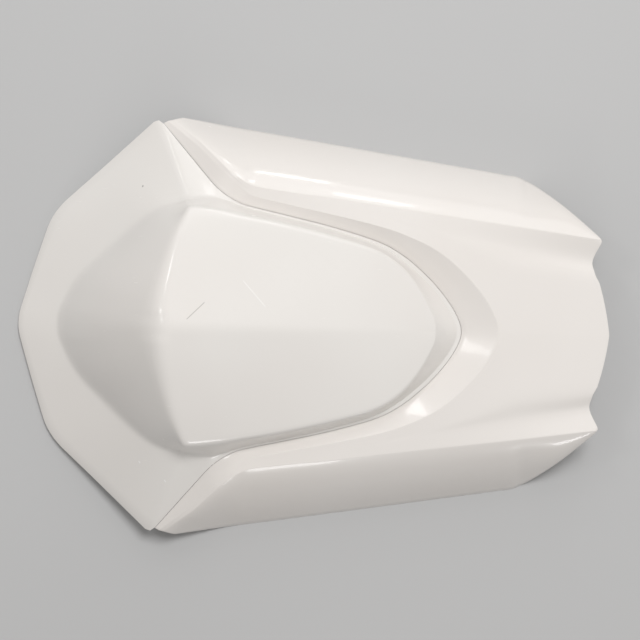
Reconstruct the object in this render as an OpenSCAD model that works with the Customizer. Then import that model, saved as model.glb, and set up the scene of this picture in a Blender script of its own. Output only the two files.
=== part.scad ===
// Pillion seat cowl of a sports motorcycle: a horseshoe surround that ends in a tail,
// and a humped centre cover screwed into it. It lies on its lower edges, +X towards the tail.

/* [Overall] */
// Length from the nose of the apron to the middle of the tail edge
body_l = 375; // [340:1:410]
// Width over the two front corners
body_w = 266; // [240:1:292]
// Wall thickness of both mouldings
wall_t = 3; // [2.4:0.1:3.6]

/* [Heights] */
// Top of the hump, at the middle of its ridge
hump_h = 84; // [76:1:94]
// Front end of the top's side edge, where the ridge meets the side wall
shoulder_h = 61; // [56:1:66]
// Rear end of the hump's top
heel_h = 49.5; // [47:0.5:53]
// Foot of the hump beside the fold between apron and wing
fold_h = 42; // [39:0.5:44]
// Foot of the hump on the centre line of the apron
toe_h = 13.5; // [11:0.5:16]
// The two front corners
corner_h = 17; // [14:0.5:20]
// Seam behind the hump
seam_h = 36; // [34:0.5:38]
// Crest of the bevel behind the hump
crest_h = 43.5; // [42:0.5:46]
// Front end of the long side ridges
ridge_h = 44; // [42:0.5:47]
// Pointed tips of the tail
tip_h = 38.5; // [36:0.5:41]
// Depth of the grooves that run along the deck
groove_d = 4.5; // [3:0.5:6]

/* [Seam] */
// Open gap of the visible seam between the two mouldings
seam_gap = 0.5; // [0.3:0.1:0.8]
// Clearance between the cover's underside and the ledge it sits on
seat_gap = 0.3; // [0.2:0.05:0.5]
// Width of the ledge on the surround that carries the cover
ledge_w = 10; // [8:0.5:12]

/* [Bosses and screws] */
// Outer diameter of the screw bosses under the hump
boss_d = 8; // [7:0.1:8.4]
// Core diameter of the screws
screw_d = 3.2; // [2.8:0.1:3.6]
// Length that a screw reaches into its boss
grip_l = 8; // [6:0.5:9]
// Head diameter of the screws
head_d = 7.4; // [7:0.1:8]
// Head height of the screws
head_h = 2.4; // [2:0.1:3]
// Diameter of the round tabs on the ledge that the screws pass through
tab_d = 13; // [12:0.5:14]
// Clearance on the diameter between a screw's core and its pilot bore
thread_gap = 0.2; // [0.1:0.05:0.3]
// Clearance on the diameter between a screw and the hole it passes through
hole_gap = 1.2; // [0.8:0.1:1.4]

/* [Latch] */
// Width of the pressed steel strap under the hump
strap_w = 24; // [20:1:28]
// Height of the strap's upper face
strap_z = 30; // [28:0.5:30.5]
// Thickness of the strap
strap_t = 2; // [1.6:0.1:2.5]
// Diameter of the rod that the seat lock grips
rod_d = 6; // [5:0.5:7]
// Distance between the legs of the rod loop
loop_w = 30; // [26:1:36]
// Drop of the rod loop below the strap, to its lowest point
loop_h = 22; // [18:1:25]

/* [Buffers] */
// Diameter of the rubber buffers
buffer_d = 15; // [13:0.5:17]
// Height of a buffer's head
buffer_h = 7; // [5:0.5:9]
// Diameter of a buffer's stem
stem_d = 7; // [6:0.5:8]
// Length of a buffer's stem
stem_l = 6; // [5:0.5:6.5]
// Height of the faces that the buffers are pressed against
buffer_z = 23; // [21:0.5:24]

/* [Hidden] */

// The lines below are drawn for a body of this length and width
drawn_l = 375;
drawn_w = 266;
// Key row where the front edges bend into the long sides
bend_row = 2;
// Steps between two key rows of the mouldings, and along the tail
row_steps = 2;
tail_steps = 4;
// Key row behind which the surround closes into one deck, and the key row at the tail edge
apex_row = 11;
tail_row = 13;

// Seam, seen from above, from the front corner round to the centre line
seam_plan = [
    [-97, 132], [-75, 106.2], [-53.5, 81], [-41, 76.2], [-13.7, 70], [14, 63.6],
    [42, 55.4], [57.4, 47.7], [70.4, 37.6], [82.4, 25.4], [92, 12], [96, 0]
];
// Crest of the bevel along the seam, then the centre line of the deck
crest_plan = [
    [-94.5, 132.4], [-71, 113.2], [-49, 91.4], [-39, 82.6], [-13.6, 76.6], [14, 70.9],
    [42, 64.6], [60, 59], [80, 49.5], [97, 35.5], [111.5, 18], [118.5, 0], [153, 0], [187.5, 0]
];
// Long side ridge, from the front corner to the tip of the tail
ridge_plan = [
    [-92, 132.8], [-69, 115], [-47, 93.6], [-37, 88], [-12, 84.2], [14, 81.2],
    [42, 77.4], [60, 75], [80, 72.4], [99, 70], [117, 67.7], [133, 65.6], [158, 62.2], [182.5, 58.9]
];
// Bottom of the groove in the deck, from where it starts to the notch in the tail edge
groove_plan = [[60, 67.5], [80, 63], [99, 59], [117, 55.6], [133, 52.8], [155, 49.4], [176, 46]];
groove_row = 7;
// Lower edge of the flank, then up the slanted end of the flank to the tip of the tail
flank_plan = [
    [-84, 133], [-68, 131.2], [-48, 128.6], [-37, 127], [-12, 123.2], [14, 119.2],
    [42, 114.9], [62, 111.8], [84, 108.4], [106, 105], [124, 102.1], [138.5, 98.6], [160, 81.2],
    [182.5, 58.9]
];
// Height of that edge as a share of the tip's height, at the front and along the slanted end
flank_rise = [0.34, 0.17, 0, 0, 0, 0, 0, 0, 0, 0, 0, 0, 0.54, 1];

function drawn(p, z) = [p[0] * body_l / drawn_l, p[1] * body_w / drawn_w, z];
function mix(a, b, t) = a + (b - a) * t;
function unit(v) = v / norm(v);
function flat(lists) = [for (l = lists) for (p = l) p];
function last(list) = list[len(list) - 1];
function mix_line(list, t) = let (i = min(floor(t), len(list) - 2)) mix(list[i], list[i + 1], t - i);

// Smooth curve through a list of points, at t counted in points, from the bend at point first on
function through(list, t, first = 0) =
    let (n = len(list) - 1, i = min(floor(t), n - 1), u = t - i,
         p1 = list[i], p2 = list[i + 1],
         p0 = i > first ? list[i - 1] : 2 * p1 - p2,
         p3 = i < n - 1 ? list[i + 2] : 2 * p2 - p1)
    t < first ? mix(p1, p2, u) : 0.5 * (2 * p1 + (p2 - p0) * u + (2 * p0 - 5 * p1 + 4 * p2 - p3) * u * u
        + (3 * p1 - p0 - 3 * p2 + p3) * u * u * u);

// Share of the way from the front corner to the rear end of a line, by its x
function along(p, from, to) = (p[0] - from[0]) / (to[0] - from[0]);

// Heights of the key rows: the first two climb from the front corner, the rest run straight
function climb(plan, i, start_h, front_h, rear_h, rear_i) =
    i < 2 ? mix(start_h, front_h, i / 2)
          : mix(front_h, rear_h, along(plan[i], plan[2], plan[rear_i]));
seam_line = [for (i = [0 : apex_row])
    drawn(seam_plan[i], climb(seam_plan, i, corner_h, fold_h, seam_h, apex_row))];
crest_line = [for (i = [0 : tail_row])
    drawn(crest_plan[i], i <= apex_row
        ? climb(crest_plan, i, corner_h + 0.4, ridge_h - 0.6, crest_h, apex_row)
        : mix(crest_h, tip_h, along(crest_plan[i], crest_plan[apex_row], crest_plan[tail_row])))];
ridge_line = [for (i = [0 : tail_row])
    drawn(ridge_plan[i], climb(ridge_plan, i, corner_h, ridge_h, tip_h, tail_row))];
flank_line = [for (i = [0 : tail_row]) drawn(flank_plan[i], flank_rise[i] * tip_h)];
groove_line = [for (i = [0 : tail_row])
    i < groove_row
        ? mix(crest_line[i], ridge_line[i], 0.6)
        : let (p = groove_plan[i - groove_row], c = crest_line[i], r = ridge_line[i],
               q = drawn(p, 0), s = (q[1] - c[1]) / (r[1] - c[1]))
          [q[0], q[1], mix(c[2], r[2], s) - groove_d * min(1, (i - groove_row) / 3)]];

// Slopes of the flank's section beside the ridge and at the lower edge, in degrees
flank_top_slope = 30;
flank_low_slope = 57;

// Point at u across the flank: a curve that leaves the ridge at one slope and ends at the other
function flank_point(top, low, u) =
    let (run = norm([low[0] - top[0], low[1] - top[1]]), drop = top[2] - low[2],
         meet = run < 0.01 ? 0 : (run * tan(flank_low_slope) - drop)
            / (tan(flank_low_slope) - tan(flank_top_slope)) / run,
         s = max(0.15, min(0.85, meet)),
         knee = [mix(top[0], low[0], s), mix(top[1], low[1], s), top[2] - s * run * tan(flank_top_slope)])
    mix(mix(top, knee, u), mix(knee, low, u), u);

// Points on the lines of the surround at t, with straight front edges
function seam_at(t) = through(seam_line, min(t, apex_row), bend_row);
function crest_at(t) = t < apex_row ? through(crest_line, t, bend_row) : mix_line(crest_line, t);
function groove_at(t) = through(groove_line, t, bend_row);
function ridge_at(t) = through(ridge_line, t, bend_row);
function flank_at(t) = let (p = through(flank_line, t, bend_row)) [p[0], p[1], max(0, p[2])];

// Direction across the seam towards the hump, level, at t along the seam
function seam_inward(t) =
    let (a = seam_at(max(0, t - 0.05)), b = seam_at(t + 0.05),
         d = t >= apex_row ? [0, -1] : unit([b[0] - a[0], b[1] - a[1]]))
    [d[1], -d[0], 0];
// Direction square to the seam and upwards, at t along the seam
function seam_up(t) =
    let (a = seam_at(max(0, t - 0.05)), b = seam_at(t + 0.05),
         d = t >= apex_row ? [0, -1, 0] : unit(b - a))
    cross(d, seam_inward(t)) * (cross(d, seam_inward(t))[2] < 0 ? -1 : 1);

// Sections of the surround, from the inner edge of the ledge to the lower edge of the flank
bevel_cols = 2;
deck_cols = 3;
flank_cols = 5;
first_row = 0.15;
// The ledge starts where the front corner has become wide enough for it
ledge_row = 1;
tail_bulge = 1.6;
groove_shoulder = 0.8;
function shell_section(t) =
    let (a = seam_at(t), b = crest_at(t), g = groove_at(t), c = ridge_at(t), e = flank_at(t),
         side = seam_inward(min(t, apex_row)), up = seam_up(min(t, apex_row)),
         k = a - up * (wall_t + seat_gap), reach = ledge_w * mix(0.7, 1, min(1, t / bend_row)),
         no_ledge = t < ledge_row || t > apex_row,
         rim = [mix(b[0], g[0], groove_shoulder), mix(b[1], g[1], groove_shoulder),
                mix(b[2], mix(b[2], c[2], 0.6), groove_shoulder)],
         bulge = max(0, t - apex_row) / (tail_row - apex_row) * tail_bulge)
    concat(
        no_ledge ? [] : [k + side * reach, k + side * reach / 2, k],
        t > apex_row ? [] : [for (i = [0 : bevel_cols - 1]) mix(a, b, i / bevel_cols)],
        [for (i = [0 : deck_cols]) let (s = i / deck_cols)
            mix(b, rim, s) + [bulge * 4 * s * (1 - s * groove_shoulder) * groove_shoulder, 0, 0]],
        [g],
        [for (i = [0 : flank_cols]) flank_point(c, e, i / flank_cols)]
    );

// Rows of one side: key rows with steps between them
side_rows = concat(
    [first_row, 0.5],
    [for (i = [row_steps : row_steps * apex_row]) i / row_steps],
    [for (i = [1 : tail_steps * (tail_row - apex_row)]) apex_row + i / tail_steps]
);

// Triangles between two rows of points, matched from their last point backwards
function strip(a, b) =
    let (n = min(len(a), len(b)), da = len(a) - n, db = len(b) - n)
    flat([for (j = [0 : n - 2])
        let (p = a[da + j], q = a[da + j + 1], r = b[db + j + 1], s = b[db + j])
        norm(p - r) < norm(q - s) ? [[p, q, r], [p, r, s]] : [[p, q, s], [q, r, s]]]);
function mirrored(tris) = [for (t = tris) [for (i = [2 : -1 : 0]) [t[i][0], -t[i][1], t[i][2]]]];

// One number per place, so that equal places are found quickly
key_shift = 0.21;
function place_key(p) = let (k = [for (v = p) round(v * 200 + key_shift)]) k[0] * 1e10 + k[1] * 1e5 + k[2];

// A closed wall of constant thickness under a sheet of triangles; nothing reaches below the floor
module walled(tris, thickness) {
    corners = flat(tris);
    keys = [for (p = corners) place_key(p)];
    firsts = [for (k = keys) search(k, keys)[0]];
    faces = [for (i = [0 : len(tris) - 1])
        let (f = [firsts[3 * i], firsts[3 * i + 1], firsts[3 * i + 2]])
        if (f[0] != f[1] && f[1] != f[2] && f[0] != f[2]) f];
    used = [for (i = [0 : len(corners) - 1]) if (firsts[i] == i) i];
    points = [for (i = used) corners[i]];
    numbers = [for (f = faces) [for (v = f) search(v, used)[0]]];
    normals = [for (f = numbers)
        unit(cross(points[f[1]] - points[f[0]], points[f[2]] - points[f[0]]))];
    touching = [for (v = [0 : len(points) - 1])
        [for (i = [0 : len(numbers) - 1]) if (numbers[i][0] == v || numbers[i][1] == v || numbers[i][2] == v) i]];
    inner = [for (v = [0 : len(points) - 1])
        let (dirs = [for (i = touching[v]) normals[i] * corner_angle(points, numbers[i], v)],
             total = [for (i = touching[v]) corner_angle(points, numbers[i], v)],
             mean = sum(dirs) / sum(total), q = max(0.45, mean * mean),
             p = points[v] - mean / q * thickness)
        [p[0], abs(points[v][1]) < 0.001 ? 0 : p[1], max(0, p[2])]];
    edges = flat([for (f = numbers) [[f[0], f[1]], [f[1], f[2]], [f[2], f[0]]]]);
    n = len(points);
    codes = [for (e = edges) e[0] * n + e[1]];
    rim = [for (e = edges) if (search(e[1] * n + e[0], codes) == []) e];
    polyhedron(
        points = concat(points, inner),
        faces = concat(
            [for (f = numbers) [f[2], f[1], f[0]]],
            [for (f = numbers) [f[0] + n, f[1] + n, f[2] + n]],
            flat([for (e = rim) [[e[0], e[1], e[1] + n], [e[0], e[1] + n, e[0] + n]]])
        )
    );
}
function sum(list) = [for (i = list) 1] * list;
function corner_angle(points, f, v) =
    let (k = search(v, f)[0], a = points[f[(k + 1) % 3]] - points[v], b = points[f[(k + 2) % 3]] - points[v])
    acos(max(-1, min(1, unit(a) * unit(b))));

// Lines of the cover. Outline of the apron from the nose to the front corner; the foot of the
// hump's front; its ridge; the top's centre line and side edge, row by row towards the tail
outline_plan = [[-187.5, 0], [-177.4, 34], [-165.3, 71.5], [-131, 101.6]];
foot_plan = [[-161.4, 0], [-147.5, 27], [-127.3, 47.2], [-98.5, 71], [-75.5, 79]];
foot_rise = [0, 0.16, 0.4, 0.77, 1];
brow_plan = [[-88.4, 0], [-87.4, 17.5], [-84.6, 35], [-80, 54.2], [-73.2, 73.1]];
brow_rise = [1, 0.84, 0.62, 0.34, 0];
spine_x = [-88.4, -73, -57, -38, -12, 12, 34, 48, 59, 68.5, 75.5, 79.4];
edge_plan = [
    [-73.2, 73.1], [-62, 71.8], [-51, 70.2], [-39, 68], [-13.5, 63.3], [14, 56.9], [41.6, 49],
    [57, 39.6], [67.5, 27.5], [74.5, 15.5], [78.5, 6.5], [79.4, 0]
];
// Foot of the side wall in front of the bend, and the width of the lip between foot and seam after it
wall_foot_plan = [[-75.5, 79], [-65, 80.3]];
lip_w = [0, 0, 1.2, 1.2, 1.2, 1.4, 1.8, 2.4, 2.6, 2.6, 2.6, 2.6];

outline_line = concat(
    [for (i = [0 : 3]) drawn(outline_plan[i], i < 3 ? wall_t + 0.2 * i : mix(wall_t, corner_h, 0.5))],
    [seam_at(0) + seam_inward(0) * seam_gap]);
foot_line = [for (i = [0 : 4]) drawn(foot_plan[i], mix(toe_h, fold_h, foot_rise[i]))];
brow_line = [for (i = [0 : 4]) drawn(brow_plan[i], mix(shoulder_h, hump_h, brow_rise[i]))];
spine_line = [for (x = spine_x)
    drawn([x, 0], mix(hump_h, heel_h, (x - spine_x[0]) / (last(spine_x) - spine_x[0])))];
edge_line = [for (p = edge_plan)
    drawn(p, mix(shoulder_h, heel_h, min(1, (p[0] - edge_plan[0][0]) / (edge_plan[7][0] - edge_plan[0][0]))))];
lip_line = [for (i = [0 : apex_row]) seam_at(i) + seam_inward(i) * seam_gap];
wall_foot_line = [for (i = [0 : apex_row])
    i < bend_row ? drawn(wall_foot_plan[i], fold_h)
                 : lip_line[i] + seam_inward(i) * lip_w[i] + [0, 0, 0.2]];

apron_steps = 3;
face_steps = 4;
face_bulge = 2;
top_bulge = 1.6;
// Stations from the centre line to the side edge of the hump
top_shares = [0, 0.07, 0.16, 0.27, 0.38, 0.5, 0.62, 0.74, 0.85, 0.93, 1];
// Rows over which the curve of the ridge fades out of the top
brow_fade = 4;

// Point of the top, at row t and at a share of the way from the centre line to the side edge
function top_at(t, share) =
    let (c = through(spine_line, t), e = through(edge_line, t), p = mix(c, e, share),
         bow = through(brow_line, 4 * share) - mix(brow_line[0], brow_line[4], share),
         fade = max(0, 1 - t / brow_fade))
    p + bow * fade * fade + [0, 0, top_bulge * 4 * share * (1 - share) * min(1, t / 2) * (1 - t / apex_row)];
// Rising face from its foot to its top, with a slight bulge
function face(low, high, u, bulge) = mix(low, high, u) + [-0.7, 0, 0.7] * bulge * 4 * u * (1 - u);
// Point of the apron, at a share of the way to the corner and of the way from outline to foot
function apron_at(share, across) =
    mix(mix_line(outline_line, 4 * share), through(foot_line, 4 * share), across);
// Direction square to the apron there
function apron_up(share, across) =
    unit(cross(apron_at(share, across + 0.05) - apron_at(share, across),
               apron_at(share + 0.02, across) - apron_at(share, across)));
// Column of the front, from the outline up to the ridge, at a share of the way to the corner
function front_column(share) =
    let (q = 4 * share, o = mix_line(outline_line, q), f = through(foot_line, q),
         r = through(brow_line, q))
    concat([for (i = [0 : apron_steps - 1]) mix(o, f, i / apron_steps)],
        [for (i = [0 : face_steps]) face(f, r, i / face_steps, face_bulge * (1 - share * share))]);
// Stations keep this distance from the side edge, where the top runs out to its point
edge_room = 2.6;
function kept_share(share, run) = share == 1 ? 1 : max(0, min(share, 1 - edge_room / max(run, edge_room)));
// Row of the top, the side wall and the wing or lip, from the centre line to the seam
function cover_section(t) =
    let (e = through(edge_line, t), w = through(wall_foot_line, t, bend_row),
         l = through(lip_line, t, bend_row))
    concat([for (s = top_shares) top_at(t, kept_share(s, norm(e - through(spine_line, t))))],
        [for (i = [1 : face_steps]) mix(e, w, i / face_steps)],
        [for (i = [1 : apron_steps]) mix(w, l, i / apron_steps)]);
cover_rows = concat([0, 0.3, 0.65], [for (i = [row_steps : row_steps * apex_row]) i / row_steps]);

// How far a boss or post runs into the wall that it grows from
bury = 1.3;
// Where the screw bosses hang: rows along the hump, at this share of the way to its side edge
boss_rows = [2.8, 4.5, 6.3, 8.1];
boss_share = 0.81;
// Overlap of a tab with the ledge, and its distance from the ledge's outer corner
tab_inset = 2;
$fn = 48;

boss_tops = [for (t = boss_rows) top_at(t, boss_share)];
// Height of the ledge's upper face beside each boss
function ledge_z(t) = (seam_at(t) - seam_up(t) * (wall_t + seat_gap))[2];

// Both sides of what is drawn once
module both_sides() {
    children();
    mirror([0, 1, 0]) children();
}
// Round post that hangs from the wall above it, with a pilot bore from below
module hanging_post(top, low_z, d) {
    translate([top[0], top[1], low_z]) cylinder(d = d, h = top[2] - wall_t + bury - low_z);
}
// Post under a slope: its top is cut along the wall, square to the direction up
module sloped_post(top, up, low_z, d) {
    difference() {
        hanging_post(top + [0, 0, d], low_z, d);
        translate(top - up * (wall_t - bury)) rotate([0, acos(up[2]), atan2(up[1], up[0])])
            translate([-d, -d, 0]) cube([2 * d, 2 * d, 2 * d]);
    }
}
// Upright bore
module bore(x, y, z, d, h) {
    translate([x, y, z]) cylinder(d = d, h = h);
}

// Tab on the ledge, from the boss to the seam
module ledge_tab(i) {
    t = boss_rows[i];
    b = boss_tops[i];
    edge = seam_at(t) + seam_inward(t) * tab_inset;
    run = [edge[0] - b[0], edge[1] - b[1]];
    translate([b[0], b[1], ledge_z(t) - wall_t]) linear_extrude(wall_t) union() {
        circle(d = tab_d);
        rotate(atan2(run[1], run[0])) translate([0, -tab_d / 2]) square([norm(run), tab_d]);
    }
}

// Buffer posts: on the tail deck and under the apron
rear_post_row = 12.1;
rear_post_share = 0.45;
rear_post = mix(crest_at(rear_post_row), groove_at(rear_post_row) + [0, 0, groove_d], rear_post_share);
front_post_share = 0.92;
front_post_across = 0.8;
front_post = apron_at(front_post_share, front_post_across);
post_wall = 3;
post_d = stem_d + 2 * post_wall;
stem_play = 0.2;

module outer_shell() {
    sections = [for (t = side_rows) shell_section(t)];
    half = flat([for (i = [0 : len(sections) - 2]) strip(sections[i + 1], sections[i])]);
    color("whitesmoke") difference() {
        union() {
            walled(concat(half, mirrored(half)), wall_t);
            both_sides() {
                for (i = [0 : len(boss_rows) - 1]) ledge_tab(i);
                hanging_post(rear_post, buffer_z, post_d);
            }
        }
        both_sides() {
            for (i = [0 : len(boss_rows) - 1])
                bore(boss_tops[i][0], boss_tops[i][1], ledge_z(boss_rows[i]) - wall_t - 1,
                    screw_d + hole_gap, wall_t + 2);
            bore(rear_post[0], rear_post[1], buffer_z - 1, stem_d + stem_play, stem_l + 1 + stem_play);
        }
    }
}

// Posts that carry the strap
strap_row = 5.4;
strap_share = 0.6;
strap_post = top_at(strap_row, strap_share);
strap_post_d = 10;

module centre_cover() {
    columns = [for (s = top_shares) front_column(s)];
    sections = [for (t = cover_rows) cover_section(t)];
    half = concat(
        flat([for (i = [0 : len(columns) - 2]) strip(columns[i], columns[i + 1])]),
        flat([for (i = [0 : len(sections) - 2]) strip(sections[i + 1], sections[i])]));
    color("whitesmoke") difference() {
        union() {
            walled(concat(half, mirrored(half)), wall_t);
            both_sides() {
                for (i = [0 : len(boss_rows) - 1])
                    hanging_post(boss_tops[i], ledge_z(boss_rows[i]), boss_d);
                hanging_post(strap_post, strap_z, strap_post_d);
                sloped_post(front_post, apron_up(front_post_share, front_post_across), buffer_z, post_d);
            }
        }
        both_sides() {
            for (i = [0 : len(boss_rows) - 1])
                bore(boss_tops[i][0], boss_tops[i][1], ledge_z(boss_rows[i]) - 1,
                    screw_d + thread_gap, grip_l + 2);
            bore(strap_post[0], strap_post[1], strap_z - 1, screw_d + thread_gap, grip_l + 2);
            bore(front_post[0], front_post[1], buffer_z - 1, stem_d + stem_play, stem_l + 1 + stem_play);
        }
    }
}

// Pan head screw that points up, its head under a plate whose lower face is at z
module screw(x, y, z, through_t) {
    translate([x, y, z - head_h]) {
        cylinder(d = head_d, h = head_h);
        cylinder(d = screw_d, h = head_h + through_t + grip_l);
    }
}

module cover_screws() {
    color("silver") both_sides() for (i = [0 : len(boss_rows) - 1])
        screw(boss_tops[i][0], boss_tops[i][1], ledge_z(boss_rows[i]) - wall_t, wall_t);
}

module strap_screws() {
    color("silver") both_sides() screw(strap_post[0], strap_post[1], strap_z - strap_t, strap_t);
}

// Clipped corners of one end of the strap, on the left for side 1 and on the right for side -1
strap_end_l = 12;
strap_clip = 6;
function strap_end(side) =
    let (x = strap_w / 2, y = strap_post[1] + strap_end_l, c = strap_clip)
    [[x, y - c], [x - c, y], [c - x, y], [-x, y - c]] * side;

module latch_strap() {
    color("dimgray") translate([strap_post[0], 0, strap_z - strap_t]) difference() {
        linear_extrude(strap_t) polygon(concat(strap_end(1), strap_end(-1)));
        both_sides() translate([0, strap_post[1], -1]) cylinder(d = screw_d + hole_gap, h = strap_t + 2);
    }
}

// Rod loop welded under the strap: two legs, two bends and the bar that the seat lock grips
bend_r = 7;
module striker_loop() {
    top_z = strap_z - strap_t;
    bar_z = top_z - loop_h + rod_d / 2;
    color("silver") translate([strap_post[0], 0, 0]) {
        both_sides() {
            translate([0, loop_w / 2, bar_z + bend_r]) cylinder(d = rod_d, h = top_z - bar_z - bend_r);
            translate([0, loop_w / 2 - bend_r, bar_z + bend_r]) rotate([0, 90, 0])
                rotate_extrude(angle = 90) translate([bend_r, 0]) circle(d = rod_d);
        }
        translate([0, loop_w / 2 - bend_r, bar_z]) rotate([90, 0, 0])
            cylinder(d = rod_d, h = loop_w - 2 * bend_r);
    }
}

// Rubber buffer: a rounded head and the stem that is pressed into a post
module buffer(p) {
    round_r = 2;
    translate([p[0], p[1], buffer_z - buffer_h]) {
        rotate_extrude() {
            translate([0, round_r]) square([buffer_d / 2, buffer_h - round_r]);
            square([buffer_d / 2 - round_r, round_r]);
            translate([buffer_d / 2 - round_r, round_r]) circle(r = round_r);
        }
        cylinder(d = stem_d, h = buffer_h + stem_l);
    }
}

module rubber_buffers() {
    color("dimgray") both_sides() {
        buffer(front_post);
        buffer(rear_post);
    }
}

outer_shell();
centre_cover();
cover_screws();
latch_strap();
striker_loop();
strap_screws();
rubber_buffers();
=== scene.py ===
"""Looks of a motorcycle pillion seat cowl: a white humped cover in a horseshoe surround."""

from __future__ import annotations

import logging
import math
from collections.abc import Callable, Sequence
from dataclasses import dataclass, field
from enum import Enum

import bmesh
import bpy
from mathutils import Matrix, Vector
from mathutils.bvhtree import BVHTree
from mathutils.kdtree import KDTree

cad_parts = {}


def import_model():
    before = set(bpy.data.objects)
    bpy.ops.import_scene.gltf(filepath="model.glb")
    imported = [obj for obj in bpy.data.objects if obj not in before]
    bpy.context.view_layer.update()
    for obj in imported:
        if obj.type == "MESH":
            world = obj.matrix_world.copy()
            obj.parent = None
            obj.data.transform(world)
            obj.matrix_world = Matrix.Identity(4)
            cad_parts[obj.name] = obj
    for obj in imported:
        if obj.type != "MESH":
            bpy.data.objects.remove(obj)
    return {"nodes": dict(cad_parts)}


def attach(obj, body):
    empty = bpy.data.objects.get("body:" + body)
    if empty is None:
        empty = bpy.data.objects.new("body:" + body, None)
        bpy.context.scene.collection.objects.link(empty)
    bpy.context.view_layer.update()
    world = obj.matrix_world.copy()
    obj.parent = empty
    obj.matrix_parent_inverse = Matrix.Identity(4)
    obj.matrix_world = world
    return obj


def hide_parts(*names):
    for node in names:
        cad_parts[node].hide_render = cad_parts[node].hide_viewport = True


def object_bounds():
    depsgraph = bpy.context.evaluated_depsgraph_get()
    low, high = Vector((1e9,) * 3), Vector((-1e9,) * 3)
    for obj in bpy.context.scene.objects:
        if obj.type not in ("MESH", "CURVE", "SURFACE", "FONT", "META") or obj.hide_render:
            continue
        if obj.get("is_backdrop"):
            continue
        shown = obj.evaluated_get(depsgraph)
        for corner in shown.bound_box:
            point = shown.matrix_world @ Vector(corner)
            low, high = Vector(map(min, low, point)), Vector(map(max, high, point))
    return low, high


LOG = logging.getLogger("seat_cowl")
MM = 0.001
UP = Vector((0, 0, 1))
SHARP_DEGREES = 38.0

Point = Vector
Plan = Sequence[tuple[float, float]]
Triple = tuple[float, float, float]
Colour = Triple


class Slot(Enum):
    """Material slots of the record; the pieces hold one each but take their finish from the
    material they are built with.
    """

    SHELL = "shell_white"
    COVER = "cover_white"


class Axis(Enum):
    """Axes of object space, in the order of a vector's parts."""

    X = 0
    Y = 1


def mix(a: float, b: float, share: float) -> float:
    """Return the number at a share of the way from a to b."""
    return a + (b - a) * share


def clamp(value: float, low: float = 0.0, high: float = 1.0) -> float:
    """Return the value kept between low and high."""
    return max(low, min(high, value))


def progress(value: float, start: float, end: float) -> float:
    """Return how far a value lies on the way from start to end, from 0 to 1."""
    return (value - start) / (end - start)


def arch(share: float) -> float:
    """Return the height of an arch that is 0 at both ends and 1 in the middle."""
    return 4 * share * (1 - share)


def shares(count: int) -> list[float]:
    """Return even shares from 0 to 1, in a number of steps."""
    return [k / count for k in range(count + 1)]


def flipped(point: Point) -> Point:
    """Return the point's mirror image on the other side of the centre line."""
    return Vector((point.x, -point.y, point.z))


@dataclass
class Curve:
    """A line through a few key points, counted by a parameter of one unit a point.

    Attributes:
        points: the key points, in millimetres.
        bend: key point up to which the line is straight.
        crossing: key point on the centre line that the line and its mirror image cross
            smoothly; past it the line runs straight.
        fillet: how far the rounding of the bend runs before and after it, in key points.
    """

    points: list[Point]
    bend: int = 0
    crossing: int = 99
    fillet: tuple[float, float] = (0.4, 1.0)

    def chord(self, t: float) -> Point:
        """Return the point at t on the straight stretches between the key points."""
        i = int(clamp(math.floor(t), 0, len(self.points) - 2))
        return self.points[i].lerp(self.points[i + 1], t - i)

    def at(self, t: float) -> Point:
        """Return the point at t on the smooth curve, with the bend rounded.

        Args:
            t: place on the curve, in key points.

        Returns:
            The point, in millimetres.
        """
        before, after = self.fillet
        start, end = self.bend - before, self.bend + after
        if self.bend == 0 or not start < t < end:
            return self.sharp(t)
        u = progress(t, start, end)
        low, high = self.sharp(start), self.sharp(end)
        return low * (1 - u) ** 2 + self.sharp(self.bend) * 2 * u * (1 - u) + high * u**2

    def sharp(self, t: float) -> Point:
        """Return the point at t on the smooth curve, with a sharp bend.

        Args:
            t: place on the curve, in key points.

        Returns:
            The point, in millimetres.
        """
        if t < self.bend or t > self.crossing:
            return self.chord(t)
        last = len(self.points) - 1
        i = int(clamp(math.floor(t), 0, min(last, self.crossing) - 1))
        u = t - i
        here, then = self.points[i], self.points[i + 1]
        before = self.points[i - 1] if i > self.bend else 2 * here - then
        after = self.points[i + 2] if i < last - 1 else 2 * then - here
        if i == self.crossing - 1:
            after = flipped(here)
        return 0.5 * (
            2 * here
            + (then - before) * u
            + (2 * before - 5 * here + 4 * then - after) * u**2
            + (3 * here - before - 3 * then + after) * u**3
        )

    def softened(self, t: float, reach: float, path: Callable[[float], Point]) -> Point:
        """Return a point of a path with rounded corners, mirrored before its start.

        Args:
            t: place on the path, in key points.
            reach: how far the rounding runs to each side of a corner, in key points.
            path: the path to round, such as the chords.

        Returns:
            The mean of the path around t.
        """
        reach = min(reach, len(self.points) - 1 - t)
        total = Vector((0, 0, 0))
        taps = 8
        for k in range(-taps, taps + 1):
            s = t + reach * k / taps
            total += flipped(path(-s)) if s < 0 else path(s)
        return total / (2 * taps + 1)


@dataclass
class Rounding:
    """How softly the surface runs over one edge line.

    Attributes:
        line: points along the edge, in millimetres.
        passes: smoothing passes on the edge itself.
        reach: distance at which the smoothing has faded out, in millimetres.
    """

    line: list[Point]
    passes: int
    reach: float


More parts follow.
